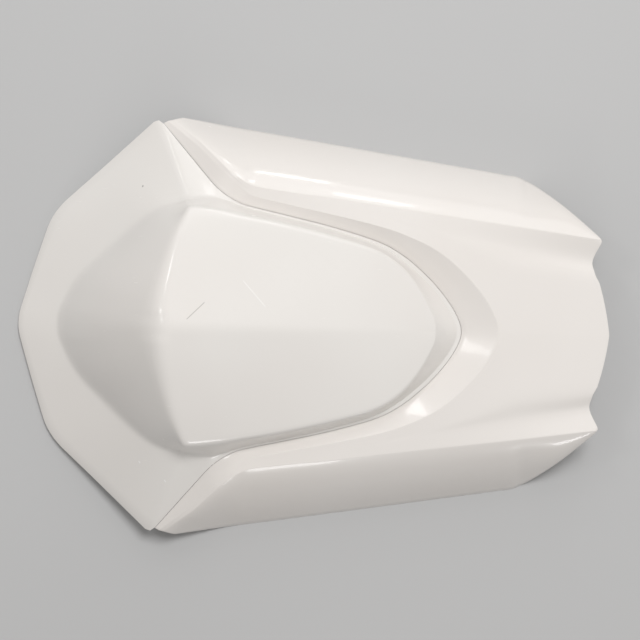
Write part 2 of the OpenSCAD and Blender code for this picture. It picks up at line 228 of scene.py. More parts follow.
@dataclass
class CowlLines:
    """The named lines that both mouldings are drawn through, in millimetres.

    A plan gives a line's key points seen from above, and a rise gives the heights of its
    key points as shares, or over the wall's thickness for the rim. The numbers of key
    points are counted along each line from the front or, on the front's lines, from the
    centre line to the corner.

    Attributes:
        length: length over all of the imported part.
        width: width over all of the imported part.
        drawn_length: length over all of the solids that were drawn from the plans.
        drawn_width: width over all of the same solids.
        front_corner: key point at which the front's lines end.
        bend: key point at which the surround's lines bend.
        apex: key point at which seam and crest meet the centre line.
        tail: key point at the tail.
        groove_start: key point from which the groove gets deeper.
        edge_level: key point from which the hump's edge runs level.
    """

    length: float
    width: float
    drawn_length: float = 375.0
    drawn_width: float = 265.45
    wall: float = 3.0
    hump: float = 84.0
    shoulder: float = 61.0
    heel: float = 49.5
    fold: float = 42.0
    toe: float = 13.5
    corner: float = 17.0
    seam_height: float = 36.0
    crest_height: float = 43.5
    crest_lift: float = 0.4
    crest_drop: float = 0.6
    ridge_height: float = 44.0
    tip: float = 38.5
    groove_depth: float = 4.5
    groove_share: float = 0.6
    seam_gap: float = 0.14
    brow_lift: float = 1.7
    wall_foot_lift: float = 0.2
    front_corner: int = 4
    bend: int = 2
    apex: int = 11
    tail: int = 13
    groove_start: int = 7
    edge_level: int = 7

    seam_plan: Plan = (
        (-97, 132), (-75, 106.2), (-53.5, 81), (-41, 76.2), (-13.7, 70), (14, 63.6),
        (42, 55.4), (57.4, 47.7), (70.4, 37.6), (82.4, 25.4), (92, 12), (96, 0),
    )  # fmt: skip
    crest_plan: Plan = (
        (-94.5, 132.4), (-71, 113.2), (-49, 91.4), (-39, 82.6), (-13.6, 76.6), (14, 70.9),
        (42, 64.6), (60, 59), (80, 49.5), (97, 35.5), (111.5, 18), (118.5, 0), (153, 0), (187.5, 0),
    )  # fmt: skip
    ridge_plan: Plan = (
        (-92, 132.8), (-69, 115), (-47, 93.6), (-37, 88), (-12, 84.2), (14, 81.2), (42, 77.4),
        (60, 75), (80, 72.4), (99, 70), (117, 67.7), (133, 65.6), (158, 62.2), (182.5, 58.9),
    )  # fmt: skip
    groove_plan: Plan = (
        (60, 67.5), (80, 63), (99, 59), (117, 55.6), (133, 52.8), (155, 49.4), (176, 46),
    )  # fmt: skip
    flank_plan: Plan = (
        (-84, 133), (-68, 131.2), (-48, 128.6), (-37, 127), (-12, 123.2), (14, 119.2), (42, 114.9),
        (62, 111.8), (84, 108.4), (106, 105), (124, 102.1), (138.5, 98.6), (160, 81.2),
        (182.5, 58.9),
    )  # fmt: skip
    flank_rise: Sequence[float] = (0.34, 0.17, 0, 0, 0, 0, 0, 0, 0, 0, 0, 0, 0.54, 1)
    rim_plan: Plan = ((-187.5, 0), (-177.4, 34), (-165.3, 71.5), (-131, 101.6))
    rim_rise: Sequence[float] = (0, 0.2, 0.4, 7)
    foot_plan: Plan = ((-161.4, 0), (-147.5, 27), (-127.3, 47.2), (-98.5, 71), (-75.5, 79))
    foot_rise: Sequence[float] = (0, 0.16, 0.4, 0.77, 1)
    brow_plan: Plan = ((-88.4, 0), (-87.4, 17.5), (-84.6, 35), (-80, 54.2), (-73.2, 73.1))
    brow_rise: Sequence[float] = (1, 0.84, 0.62, 0.34, 0)
    spine_x: Sequence[float] = (-88.4, -73, -57, -38, -12, 12, 34, 48, 59, 68.5, 75.5, 79.4)
    edge_plan: Plan = (
        (-73.2, 73.1), (-62, 71.8), (-51, 70.2), (-39, 68), (-13.5, 63.3), (14, 56.9), (41.6, 49),
        (57, 39.6), (67.5, 27.5), (74.5, 15.5), (78.5, 6.5), (79.4, 0),
    )  # fmt: skip
    wall_foot_plan: Plan = ((-75.5, 79), (-65, 80.3))
    lip_width: Sequence[float] = (0, 0, 1.2, 1.2, 1.2, 1.4, 1.8, 2.4, 2.6, 2.6, 2.6, 2.6)

    def __post_init__(self) -> None:
        """Work out the lines of both mouldings from their plans and heights."""
        self.grow_x = self.length / self.drawn_length
        self.grow_y = self.width / self.drawn_width
        self.draw_surround()
        self.draw_cover()

    def draw_surround(self) -> None:
        """Work out seam, crest, ridge, flank and groove."""
        self.seam = self.line(self.seam_plan, self.climb(
            self.seam_plan, self.corner, self.fold, self.seam_height), self.bend)
        front = self.ridge_height - self.crest_drop
        rise = self.climb(self.crest_plan[: self.apex + 1], self.corner + self.crest_lift,
                          front, self.crest_height)
        start, end = self.crest_plan[self.apex][0], self.crest_plan[-1][0]
        fall = [mix(self.crest_height, self.tip, progress(x, start, end))
                for x, _ in self.crest_plan[self.apex + 1:]]
        self.crest = self.line(self.crest_plan, rise + fall, self.bend)
        self.crest.fillet = (0.4, 1.1)
        self.crest.crossing = self.seam.crossing = self.apex
        self.ridge = self.line(self.ridge_plan, self.climb(
            self.ridge_plan, self.corner, self.ridge_height, self.tip), self.bend)
        flank_heights = [self.tip * share for share in self.flank_rise]
        self.flank = self.line(self.flank_plan, flank_heights, self.bend)
        self.groove = Curve([self.groove_point(i) for i in range(self.tail + 1)], self.bend)

    def draw_cover(self) -> None:
        """Work out the wall's foot, the front's foot, brow, spine, edge and rim."""
        self.wall_foot = Curve([self.wall_foot_point(i) for i in range(self.apex + 1)], self.bend)
        self.foot = self.line(self.foot_plan, [mix(self.toe, self.fold, share)
                                               for share in self.foot_rise])
        peak = self.hump + self.brow_lift
        self.brow = self.line(self.brow_plan, [mix(self.shoulder, peak, share)
                                               for share in self.brow_rise])
        first, last = self.spine_x[0], self.spine_x[-1]
        self.spine = self.line([(x, 0.0) for x in self.spine_x], [
            mix(peak, self.heel, progress(x, first, last)) for x in self.spine_x])
        start, level = self.edge_plan[0][0], self.edge_plan[self.edge_level][0]
        self.edge = self.line(self.edge_plan, [
            mix(self.shoulder, self.heel, clamp(progress(x, start, level)))
            for x, _ in self.edge_plan])
        self.edge.crossing = self.wall_foot.crossing = self.apex
        self.rim = self.line(self.rim_plan, [self.wall + rise for rise in self.rim_rise])
        self.rim.points.append(self.lip(0))

    def placed(self, x: float, y: float, z: float) -> Point:
        """Return a drawn point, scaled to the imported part's length and width."""
        return Vector((x * self.grow_x, y * self.grow_y, z))

    def line(self, plan: Plan, heights: Sequence[float], bend: int = 0) -> Curve:
        """Return the curve over a plan, at one height for each key point."""
        return Curve([self.placed(x, y, z) for (x, y), z in zip(plan, heights)], bend)

    def climb(self, plan: Plan, corner: float, front: float, rear: float) -> list[float]:
        """Return heights that climb to the bend and run straight from there to the end.

        Args:
            plan: the line seen from above.
            corner: height at the first key point.
            front: height at the bend.
            rear: height at the last key point.

        Returns:
            One height for each key point.
        """
        start, stop = plan[self.bend][0], plan[-1][0]
        return [
            mix(corner, front, i / self.bend) if i < self.bend
            else mix(front, rear, progress(x, start, stop))
            for i, (x, _) in enumerate(plan)
        ]

    def groove_point(self, i: int) -> Point:
        """Return the groove's bottom at a key point.

        Args:
            i: number of the key point.

        Returns:
            The point, in millimetres.
        """
        crest, ridge = self.crest.points[i], self.ridge.points[i]
        if i < self.groove_start:
            return crest.lerp(ridge, self.groove_share)
        point = self.placed(*self.groove_plan[i - self.groove_start], 0)
        depth = self.groove_depth * progress(i, self.groove_start, self.tail) ** 2
        point.z = mix(crest.z, ridge.z, progress(point.y, crest.y, ridge.y)) - depth
        return point

    def seam_inward(self, t: float) -> Point:
        """Return the level direction across the seam towards the hump.

        Args:
            t: place along the seam, in key points.

        Returns:
            The direction, one unit long.
        """
        if t >= self.apex:
            return Vector((-1, 0, 0))
        nudge = 0.05
        run = self.seam.at(min(t + nudge, self.apex)) - self.seam.at(max(0.0, t - nudge))
        run.z = 0
        run.normalize()
        return Vector((run.y, -run.x, 0))

    def lip(self, t: float) -> Point:
        """Return the cover's edge at t along the seam, one open gap inside it."""
        return self.seam.at(t) + self.seam_inward(t) * self.seam_gap

    def wall_foot_point(self, i: int) -> Point:
        """Return the foot of the hump's side wall at a key point.

        Args:
            i: number of the key point.

        Returns:
            The point, in millimetres.
        """
        if i < self.bend:
            return self.placed(*self.wall_foot_plan[i], self.fold)
        inset = self.seam_gap + self.lip_width[i]
        return self.seam.points[i] + self.seam_inward(i) * inset + UP * self.wall_foot_lift


@dataclass
class Sheet:
    """A surface of grid patches that are joined, mirrored and rounded along its edge lines."""

    mesh: bmesh.types.BMesh = field(default_factory=bmesh.new)
    weld: float = 0.02

    def patch(self, rows: Sequence[float], stations: Sequence[float],
              place: Callable[[float, float], Point]) -> None:
        """Add a grid whose points are placed by their row and their station.

        Args:
            rows: parameters along the patch.
            stations: parameters across the patch.
            place: gives the point, in millimetres, at a row and a station.
        """
        wide, high = len(rows) - 1, len(stations) - 1
        made = bmesh.ops.create_grid(self.mesh, x_segments=wide, y_segments=high, size=0.5)
        for vert in made["verts"]:
            i, j = round((vert.co.x + 0.5) * wide), round((vert.co.y + 0.5) * high)
            vert.co = place(rows[i], stations[j])

    def close(self) -> None:
        """Join the patches, mirror them over the centre line and point them upwards."""
        bm = self.mesh
        bmesh.ops.remove_doubles(bm, verts=bm.verts, dist=self.weld)
        bmesh.ops.dissolve_degenerate(bm, edges=bm.edges, dist=1e-4)
        bmesh.ops.mirror(bm, geom=bm.verts[:] + bm.edges[:] + bm.faces[:], matrix=Matrix(),
                         merge_dist=self.weld, axis="Y")
        bmesh.ops.remove_doubles(bm, verts=bm.verts, dist=self.weld)
        bmesh.ops.recalc_face_normals(bm, faces=bm.faces)
        if sum(face.normal.z * face.calc_area() for face in bm.faces) < 0:
            bmesh.ops.reverse_faces(bm, faces=bm.faces)

    def trim(self, corners: Sequence[Point], passes: int, reach: float) -> None:
        """Round the outline at its corners.

        Args:
            corners: the corners of one half; the other half is their mirror image.
            passes: smoothing passes along the outline.
            reach: how far from a corner the outline is smoothed, in millimetres.
        """
        both = list(corners) + [flipped(corner) for corner in corners]
        near = [vert for vert in self.mesh.verts if vert.is_boundary
                and min((vert.co - corner).length for corner in both) < reach]
        sides = [[edge.other_vert(vert) for edge in vert.link_edges if edge.is_boundary]
                 for vert in near]
        for _ in range(passes):
            moved = [(a.co + b.co + 2 * vert.co) / 4 for vert, (a, b) in zip(near, sides)]
            for vert, place in zip(near, moved):
                vert.co = place

    def soften(self, roundings: Sequence[Rounding]) -> None:
        """Smooth the surface near its edge lines, each as softly as its rounding says.

        Args:
            roundings: the edge lines of one half; the other half is their mirror image.
        """
        wanted = {vert: 0.0 for vert in self.mesh.verts if not vert.is_boundary}
        for rounding in roundings:
            tree = KDTree(2 * len(rounding.line))
            for k, point in enumerate(rounding.line):
                tree.insert(point, 2 * k)
                tree.insert(flipped(point), 2 * k + 1)
            tree.balance()
            for vert in wanted:
                gap = tree.find(vert.co)[2]
                if gap < rounding.reach:
                    passes = rounding.passes * (1 - (gap / rounding.reach) ** 2)
                    wanted[vert] = max(wanted[vert], passes)
        for step in range(math.ceil(max(wanted.values()))):
            smooth(self.mesh, [vert for vert, passes in wanted.items() if passes > step])


def smooth(bm: bmesh.types.BMesh, verts: list[bmesh.types.BMVert]) -> None:
    """Move vertices half-way towards the middle of their neighbours."""
    bmesh.ops.smooth_vert(bm, verts=verts, factor=0.5,
                          use_axis_x=True, use_axis_y=True, use_axis_z=True)


def spread(line: Curve, start: float, end: float, pitch: float) -> list[float]:
    """Return parameters along a line, closer than a pitch, with every key point among them.

    Args:
        line: the curve that sets the spacing.
        start: first parameter.
        end: last parameter.
        pitch: greatest distance between two points, in millimetres.

    Returns:
        Rising parameters from start to end.
    """
    stops = [start] + [float(k) for k in range(math.floor(start) + 1, math.ceil(end))] + [end]
    found = [start]
    for a, b in zip(stops, stops[1:]):
        count = max(1, math.ceil((line.at(b) - line.at(a)).length / pitch))
        found += [mix(a, b, share) for share in shares(count)[1:]]
    return found


def sampled(path: Callable[[float], Point], start: float, end: float,
            count: int = 400) -> list[Point]:
    """Return points of a path in even steps from start to end."""
    return [path(mix(start, end, share)) for share in shares(count)]


def thicken(bm: bmesh.types.BMesh, wall: float, edge_round: float) -> None:
    """Give an open sheet its wall, untangle the inner face and round the outer rim.

    Args:
        bm: the sheet, in millimetres, with its faces upwards.
        wall: thickness.
        edge_round: size of the rounded outer edge of the rim.
    """
    untangling = 12
    outer = set(bm.verts)
    bmesh.ops.solidify(bm, geom=bm.faces[:], thickness=wall)
    inner = [vert for vert in bm.verts if vert not in outer]
    rim = [face for face in bm.faces
           if 0 < sum(vert in outer for vert in face.verts) < len(face.verts)]
    rim_verts = {vert for face in rim for vert in face.verts}
    loose = [vert for vert in inner if vert not in rim_verts]
    for _ in range(untangling):
        smooth(bm, loose)
    edges = dict.fromkeys(edge for face in rim for edge in face.edges
                          if all(vert in outer for vert in edge.verts))
    bmesh.ops.bevel(bm, geom=list(edges), offset=edge_round, offset_type="OFFSET",
                    segments=2, profile=0.5, affect="EDGES", material=-1, clamp_overlap=True)
    for vert in bm.verts:
        vert.co.z = max(0.0, vert.co.z)


def show(thing: bpy.types.Object) -> None:
    """Link an object into the scene."""
    bpy.context.scene.collection.objects.link(thing)


def made_object(bm: bmesh.types.BMesh, name: str, material: bpy.types.Material) -> bpy.types.Object:
    """Turn a mesh into an object of the scene.

    Args:
        bm: the mesh, which is freed.
        name: the object's name.
        material: its finish.

    Returns:
        The object, at the origin.
    """
    mesh = bpy.data.meshes.new(name)
    bm.to_mesh(mesh)
    bm.free()
    mesh.materials.append(material)
    made = bpy.data.objects.new(name, mesh)
    show(made)
    return made


@dataclass(frozen=True)
class Spot:
    """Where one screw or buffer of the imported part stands, in millimetres."""

    x: float
    y: float
    low: float


def spots(frame: dict, node: str) -> list[Spot]:
    """Find where each separate solid of a CAD node stands.

    Args:
        node: the node's name.

    Returns:
        The middle and the lowest point of every solid.
    """
    bm = bmesh.new()
    bm.from_mesh(frame["nodes"][node].data)
    bmesh.ops.remove_doubles(bm, verts=bm.verts, dist=1e-6)
    found: list[Spot] = []
    seen: set[bmesh.types.BMVert] = set()
    for start in bm.verts:
        if start in seen:
            continue
        solid, pending = [start], [start]
        seen.add(start)
        while pending:
            for edge in pending.pop().link_edges:
                for vert in edge.verts:
                    if vert not in seen:
                        seen.add(vert)
                        solid.append(vert)
                        pending.append(vert)
        xs, ys = [v.co.x / MM for v in solid], [v.co.y / MM for v in solid]
        found.append(Spot((min(xs) + max(xs)) / 2, (min(ys) + max(ys)) / 2,
                          min(v.co.z for v in solid) / MM))
    bm.free()
    return found


@dataclass(frozen=True)
class Post:
    """A moulded post with a bore from below, in millimetres.

    Attributes:
        lift: how far its lower face is above the lowest point of what it holds.
        wide: its diameter.
        bore: the bore's diameter.
        deep: the bore's depth.
    """

    lift: float
    wide: float
    bore: float
    deep: float


@dataclass
class Underside:
    """Turned posts and tabs that are moulded onto the inner side of a piece.

    Attributes:
        piece: the piece's mesh, in millimetres.
        mesh: the added forms.
        turns: sides of a round form.
        bite: how far a post runs into the wall above it, in millimetres.
        cap: what is left of a post above its bore where no wall is above it.
    """

    piece: bmesh.types.BMesh
    mesh: bmesh.types.BMesh = field(default_factory=bmesh.new)
    turns: int = 32
    bite: float = 0.8
    cap: float = 1.0

    def __post_init__(self) -> None:
        """Keep the walls that the posts grow from."""
        self.walls = BVHTree.FromBMesh(self.piece)

    def join(self) -> None:
        """Add the forms to the piece's mesh."""
        spare = bpy.data.meshes.new("forms")
        self.mesh.to_mesh(spare)
        self.mesh.free()
        self.piece.from_mesh(spare)
        bpy.data.meshes.remove(spare)

    def turned(self, spot: Spot, profile: Plan, closed: bool) -> list[bmesh.types.BMVert]:
        """Add a form turned about an upright axis.

        Args:
            spot: where the axis stands.
            profile: radius and height of each corner of the outline.
            closed: whether the outline's last corner joins its first.

        Returns:
            The form's vertices.
        """
        bm = self.mesh
        verts = [bm.verts.new((spot.x + r, spot.y, z)) for r, z in profile]
        pairs = list(zip(verts, verts[1:])) + ([(verts[-1], verts[0])] if closed else [])
        edges = [bm.edges.new(pair) for pair in pairs]
        known = set(bm.verts)
        bmesh.ops.spin(bm, geom=verts + edges, cent=(spot.x, spot.y, 0), axis=UP, dvec=(0, 0, 0),
                       angle=math.tau, steps=self.turns, use_merge=True, use_normal_flip=False,
                       use_duplicate=False)
        made = verts + [vert for vert in bm.verts if vert not in known]
        bmesh.ops.remove_doubles(bm, verts=made, dist=1e-4)
        made = [vert for vert in made if vert.is_valid]
        faces = dict.fromkeys(face for vert in made for face in vert.link_faces)
        bmesh.ops.recalc_face_normals(bm, faces=list(faces))
        return made

    def post(self, spot: Spot, form: Post) -> None:
        """Add a post that hangs from the wall above it.

        Args:
            spot: where the screw or buffer stands that it holds.
            form: the post's sizes.
        """
        low = spot.low + form.lift
        roof = low + form.deep
        top = roof + self.cap
        outline = ((0, roof), (form.bore / 2, roof), (form.bore / 2, low), (form.wide / 2, low),
                   (form.wide / 2, top), (0, top))
        for vert in self.turned(spot, outline, closed=False):
            if vert.co.z > roof + self.cap / 2:
                hit = self.walls.ray_cast(Vector((vert.co.x, vert.co.y, low)), UP)[0]
                if hit is not None:
                    vert.co.z = hit.z + self.bite

    def tab(self, spot: Spot, low: float, high: float, wide: float, bore: float) -> None:
        """Add a flat ring that a screw passes through.

        Args:
            spot: where the screw stands.
            low: height of its lower face, in millimetres.
            high: height of its upper face.
            wide: its diameter.
            bore: its hole's diameter.
        """
        outline = ((bore / 2, low), (wide / 2, low), (wide / 2, high), (bore / 2, high))
        self.turned(spot, outline, closed=True)

    def bridge(self, start: Point, end: Point, wide: float, thick: float) -> None:
        """Add a level bar.

        Args:
            start: middle of its upper face's first edge.
            end: middle of its upper face's last edge.
            wide: its width, in millimetres.
            thick: its thickness.
        """
        run = end - start
        turn = Matrix.Rotation(math.atan2(run.y, run.x), 4, "Z")
        middle = (start + end) / 2 - UP * thick / 2
        size = Matrix.Diagonal((math.hypot(run.x, run.y), wide, thick, 1))
        bmesh.ops.create_cube(self.mesh, size=1, matrix=Matrix.Translation(middle) @ turn @ size)


@dataclass(kw_only=True)
class Moulding:
    """One of the two white mouldings, with its wall and what is moulded under it.

    Attributes:
        lines: the lines that it is drawn through.
        screws: the screws that hold the two mouldings together.
        buffers: the buffers that the cowl rests on.
        name: the piece's name.
        slot: the record's slot of its finish; not used.
        nodes: the CAD nodes that it replaces.
        pitch: greatest distance between two rows of points, in millimetres.
        edge_round: size of the rounded outer edge of the rim, in millimetres.
        buffer_post: the posts that hold the buffers.
    """

    lines: CowlLines
    screws: list[Spot]
    buffers: list[Spot]
    name: str
    slot: Slot
    nodes: Sequence[str]
    pitch: float = 1.9
    edge_round: float = 0.25
    buffer_post: Post = Post(lift=7.0, wide=13.0, bore=7.2, deep=6.2)

    def face_sheet(self) -> Sheet:
        """Return the moulding's outer face as one open, rounded sheet."""
        raise NotImplementedError

    def add_underside(self, forms: Underside) -> None:
        """Add what is moulded onto the inner side."""
        raise NotImplementedError

    def build(self, material: bpy.types.Material) -> bpy.types.Object:
        """Build the moulding as a smooth piece of the scene that stands for CAD nodes.

        Args:
            material: its finish.

        Returns:
            The new object.
        """
        bm = self.face_sheet().mesh
        thicken(bm, self.lines.wall, self.edge_round)
        forms = Underside(bm)
        self.add_underside(forms)
        forms.join()
        bmesh.ops.scale(bm, verts=bm.verts, vec=(MM, MM, MM))
        piece = made_object(bm, self.name, material)
        smooth_shaded(piece.data)
        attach(piece, "root")
        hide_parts(*self.nodes)
        LOG.info("%s: %d faces", self.name, len(piece.data.polygons))
        return piece


def smooth_shaded(mesh: bpy.types.Mesh, sharp: float = SHARP_DEGREES) -> None:
    """Shade a mesh smoothly, apart from edges that bend by more than sharp degrees."""
    mesh.shade_smooth()
    mesh.set_sharp_from_angle(angle=math.radians(sharp))


@dataclass(kw_only=True)
class Surround(Moulding):
    """The horseshoe moulding: bevel along the seam, grooved deck, side ridges and flanks.

    Attributes:
        shoulder_share: how far the deck reaches on the way from crest to groove.
        deck_share: share of the fall from crest to ridge that the deck takes.
        knee_room: lowest and highest share of the flank's run at which it may bend.
        crowding: how much closer the points stand near crest and ridge.
        seat_gap: play between the cover's wall and the ledge.
        ledge_narrow: share of its width that the ledge has at the front corner.
        ledge_turn: key points over which the ledge gets level at the bend.
        ledge_root: how far the ledge runs under the bevel.
        ledge_lift: how far the ledge climbs there.
    """

    name: str = "surround"
    slot: Slot = Slot.SHELL
    nodes: Sequence[str] = ("outer_shell",)
    first_row: float = 0.15
    shoulder_share: float = 0.8
    deck_share: float = 0.6
    tail_bulge: float = 1.6
    flank_top_slope: float = 27.0
    flank_low_slope: float = 61.0
    knee_room: tuple[float, float] = (0.15, 0.85)
    crowding: float = 1.7
    bevel_steps: int = 9
    deck_steps: int = 13
    groove_steps: int = 7
    flank_steps: int = 24
    seat_gap: float = 0.3
    ledge_width: float = 10.0
    ledge_narrow: float = 0.7
    ledge_turn: float = 0.4
    ledge_fall: float = 0.18
    ledge_root: float = 2.2
    ledge_lift: float = 0.8
    tab_wide: float = 13.0
    tab_bore: float = 4.4
    head_high: float = 2.4
    bridge_share: float = 0.8
    bridge_inset: float = 1.0
    bridge_short: float = 3.0
    bridge_sink: float = 0.05

    def stations(self) -> list[float]:
        """Return the places across at which the face has its points.

        Returns:
            Stations: bevel from 0 to 1, deck to 2, groove to 3 and 4, flank to 5.
        """
        crowd = self.crowding
        bevel = [1 - (1 - share) ** crowd for share in shares(self.bevel_steps)]
        deck = [1 + share**crowd for share in shares(self.deck_steps)[1:]]
        dip = [2 + share for share in shares(self.groove_steps)[1:]]
        rise = [4 - (1 - share) ** crowd for share in shares(self.groove_steps)[1:]]
        flank = [4 + share**crowd for share in shares(self.flank_steps)[1:]]
        return bevel + deck + dip + rise + flank

    def point(self, t: float, station: float) -> Point:
        """Return the point of the moulding's face at row t and at a station across.

        Args:
            t: row, in key points along the seam.
            station: place across, counted in bands.

        Returns:
            The point, in millimetres.
        """
        lines = self.lines
        crest, ridge, groove = lines.crest.at(t), lines.ridge.at(t), lines.groove.at(t)
        band = min(4, int(station))
        share = station - band
        if band == 0:
            return lines.seam.at(t).lerp(crest, share)
        if band == 4:
            low = lines.flank.at(t)
            low.z = max(0.0, low.z)
            return self.flank_point(ridge, low, share)
        shoulder = crest.lerp(groove, self.shoulder_share)
        shoulder.z = mix(crest.z, mix(crest.z, ridge.z, self.deck_share), self.shoulder_share)
        if band == 1:
            bulge = clamp(progress(t, lines.apex, lines.tail)) * self.tail_bulge
            push = bulge * arch(share * self.shoulder_share)
            return crest.lerp(shoulder, share) + Vector((push, 0, 0))
        if band == 2:
            return shoulder.lerp(groove, share)
        return groove.lerp(ridge, share)

    def flank_point(self, top: Point, low: Point, share: float) -> Point:
        """Return a point of the flank, which bows outwards and is steepest at its lower edge.

        Args:
            top: point of the side ridge.
            low: point of the lower edge.
            share: place on the way down.

        Returns:
            The point, in millimetres.
        """
        run = math.hypot(low.x - top.x, low.y - top.y)
        steep = math.tan(math.radians(self.flank_low_slope))
        gentle = math.tan(math.radians(self.flank_top_slope))
        meet = 0.0 if run < 0.01 else (run * steep - (top.z - low.z)) / (steep - gentle) / run
        meet = clamp(meet, *self.knee_room)
        knee = top.lerp(low, meet)
        knee.z = top.z - meet * run * gentle
        return top.lerp(knee, share).lerp(knee.lerp(low, share), share)

    def face_sheet(self) -> Sheet:
        """Draw the moulding's outer face.

        Returns:
            One open, rounded sheet.
        """
        lines = self.lines
        sheet = Sheet()
        stations = self.stations()
        rows = spread(lines.ridge, self.first_row, lines.apex, self.pitch)
        sheet.patch(rows, stations, self.point)
        tail_rows = spread(lines.ridge, lines.apex, lines.tail, self.pitch)
        sheet.patch(tail_rows, [station for station in stations if station >= 1], self.point)
        sheet.close()
        tips = [lines.ridge.points[-1], lines.groove.points[-1]]
        sheet.trim(tips, passes=4, reach=3.5)
        sheet.soften(self.roundings() + [Rounding(tips, passes=4, reach=4.0)])
        return sheet

    def roundings(self) -> list[Rounding]:
        """Say how softly each line of the moulding is rounded.

        Returns:
            One rounding for each line.
        """
        lines, point = self.lines, self.point
        bend, apex, tail = lines.bend, lines.apex, lines.tail
        shoulder = sampled(lambda t: point(t, 2), lines.groove_start, tail, 200)
        mitre = sampled(lambda station: point(bend, station), 0, 1.5, 75)
        blend = sampled(lambda station: point(bend + 1, station), 2, 4.5, 125)
        return [
            Rounding(sampled(lines.crest.at, 1, apex), passes=1, reach=2.5),
            Rounding(sampled(lines.ridge.at, 0.6, tail), passes=4, reach=5.0),
            Rounding(sampled(lines.groove.at, lines.groove_start, tail), passes=6, reach=6.0),
            Rounding(shoulder, passes=5, reach=6.0),
            Rounding(mitre, passes=14, reach=9.0),
            Rounding(blend, passes=10, reach=8.0),
            Rounding(sampled(lines.crest.at, apex, tail), passes=4, reach=5.0),
        ]

    def ledge_point(self, t: float, place: float) -> Point:
        """Return a point of the ledge under the cover's edge.

        Args:
            t: row, in key points along the seam.
            place: corner of the section, from 0 to 5, with 0 and 5 the same.

        Returns:
            The point, in millimetres.
        """
        lines = self.lines
        inward = lines.seam_inward(t)
        reach = self.ledge_width * mix(self.ledge_narrow, 1, min(1, t / lines.bend))
        fall = self.ledge_fall * clamp((lines.bend - t) / self.ledge_turn + 0.5) * reach
        top = lines.seam.at(t) - UP * (lines.wall + self.seat_gap)
        tip = top + inward * reach - UP * fall
        root = top - inward * self.ledge_root + UP * self.ledge_lift
        under = UP * lines.wall
        return (top, tip, tip - under, root - under, root, top)[round(place)]

    def add_underside(self, forms: Underside) -> None:
        """Add the ledge, its tabs and the rear posts.

        Args:
            forms: what is moulded onto the inner side.
        """
        lines = self.lines
        ledge = Sheet(forms.mesh)
        ledge.patch(spread(lines.seam, 1, lines.apex, self.pitch), range(6), self.ledge_point)
        ledge.close()
        bmesh.ops.holes_fill(ledge.mesh, edges=[e for e in ledge.mesh.edges if e.is_boundary])
        bmesh.ops.recalc_face_normals(ledge.mesh, faces=ledge.mesh.faces)
        for screw in self.screws:
            self.add_tab(forms, screw)
        for spot in self.buffers:
            if spot.x > 0:
                forms.post(spot, self.buffer_post)

    def add_tab(self, forms: Underside, screw: Spot) -> None:
        """Add the tab that a screw passes through and the bridge from it to the ledge.

        Args:
            forms: what is moulded onto the inner side.
            screw: where the screw stands.
        """
        lines = self.lines
        low = screw.low + self.head_high
        top = low + lines.wall
        forms.tab(screw, low, top, self.tab_wide, self.tab_bore)
        here = Vector((screw.x, abs(screw.y), top))
        seam = min(sampled(lines.seam.at, lines.bend, lines.apex),
                   key=lambda point: (point.xy - here.xy).length)
        run = (seam - here).xy.normalized().to_3d()
        start = here + run * (self.tab_wide / 2 - self.bridge_inset)
        end = seam - run * self.bridge_short
        end.z = start.z = top - self.bridge_sink
        if screw.y < 0:
            start, end = flipped(start), flipped(end)
        forms.bridge(start, end, self.tab_wide * self.bridge_share,
                     lines.wall - 2 * self.bridge_sink)


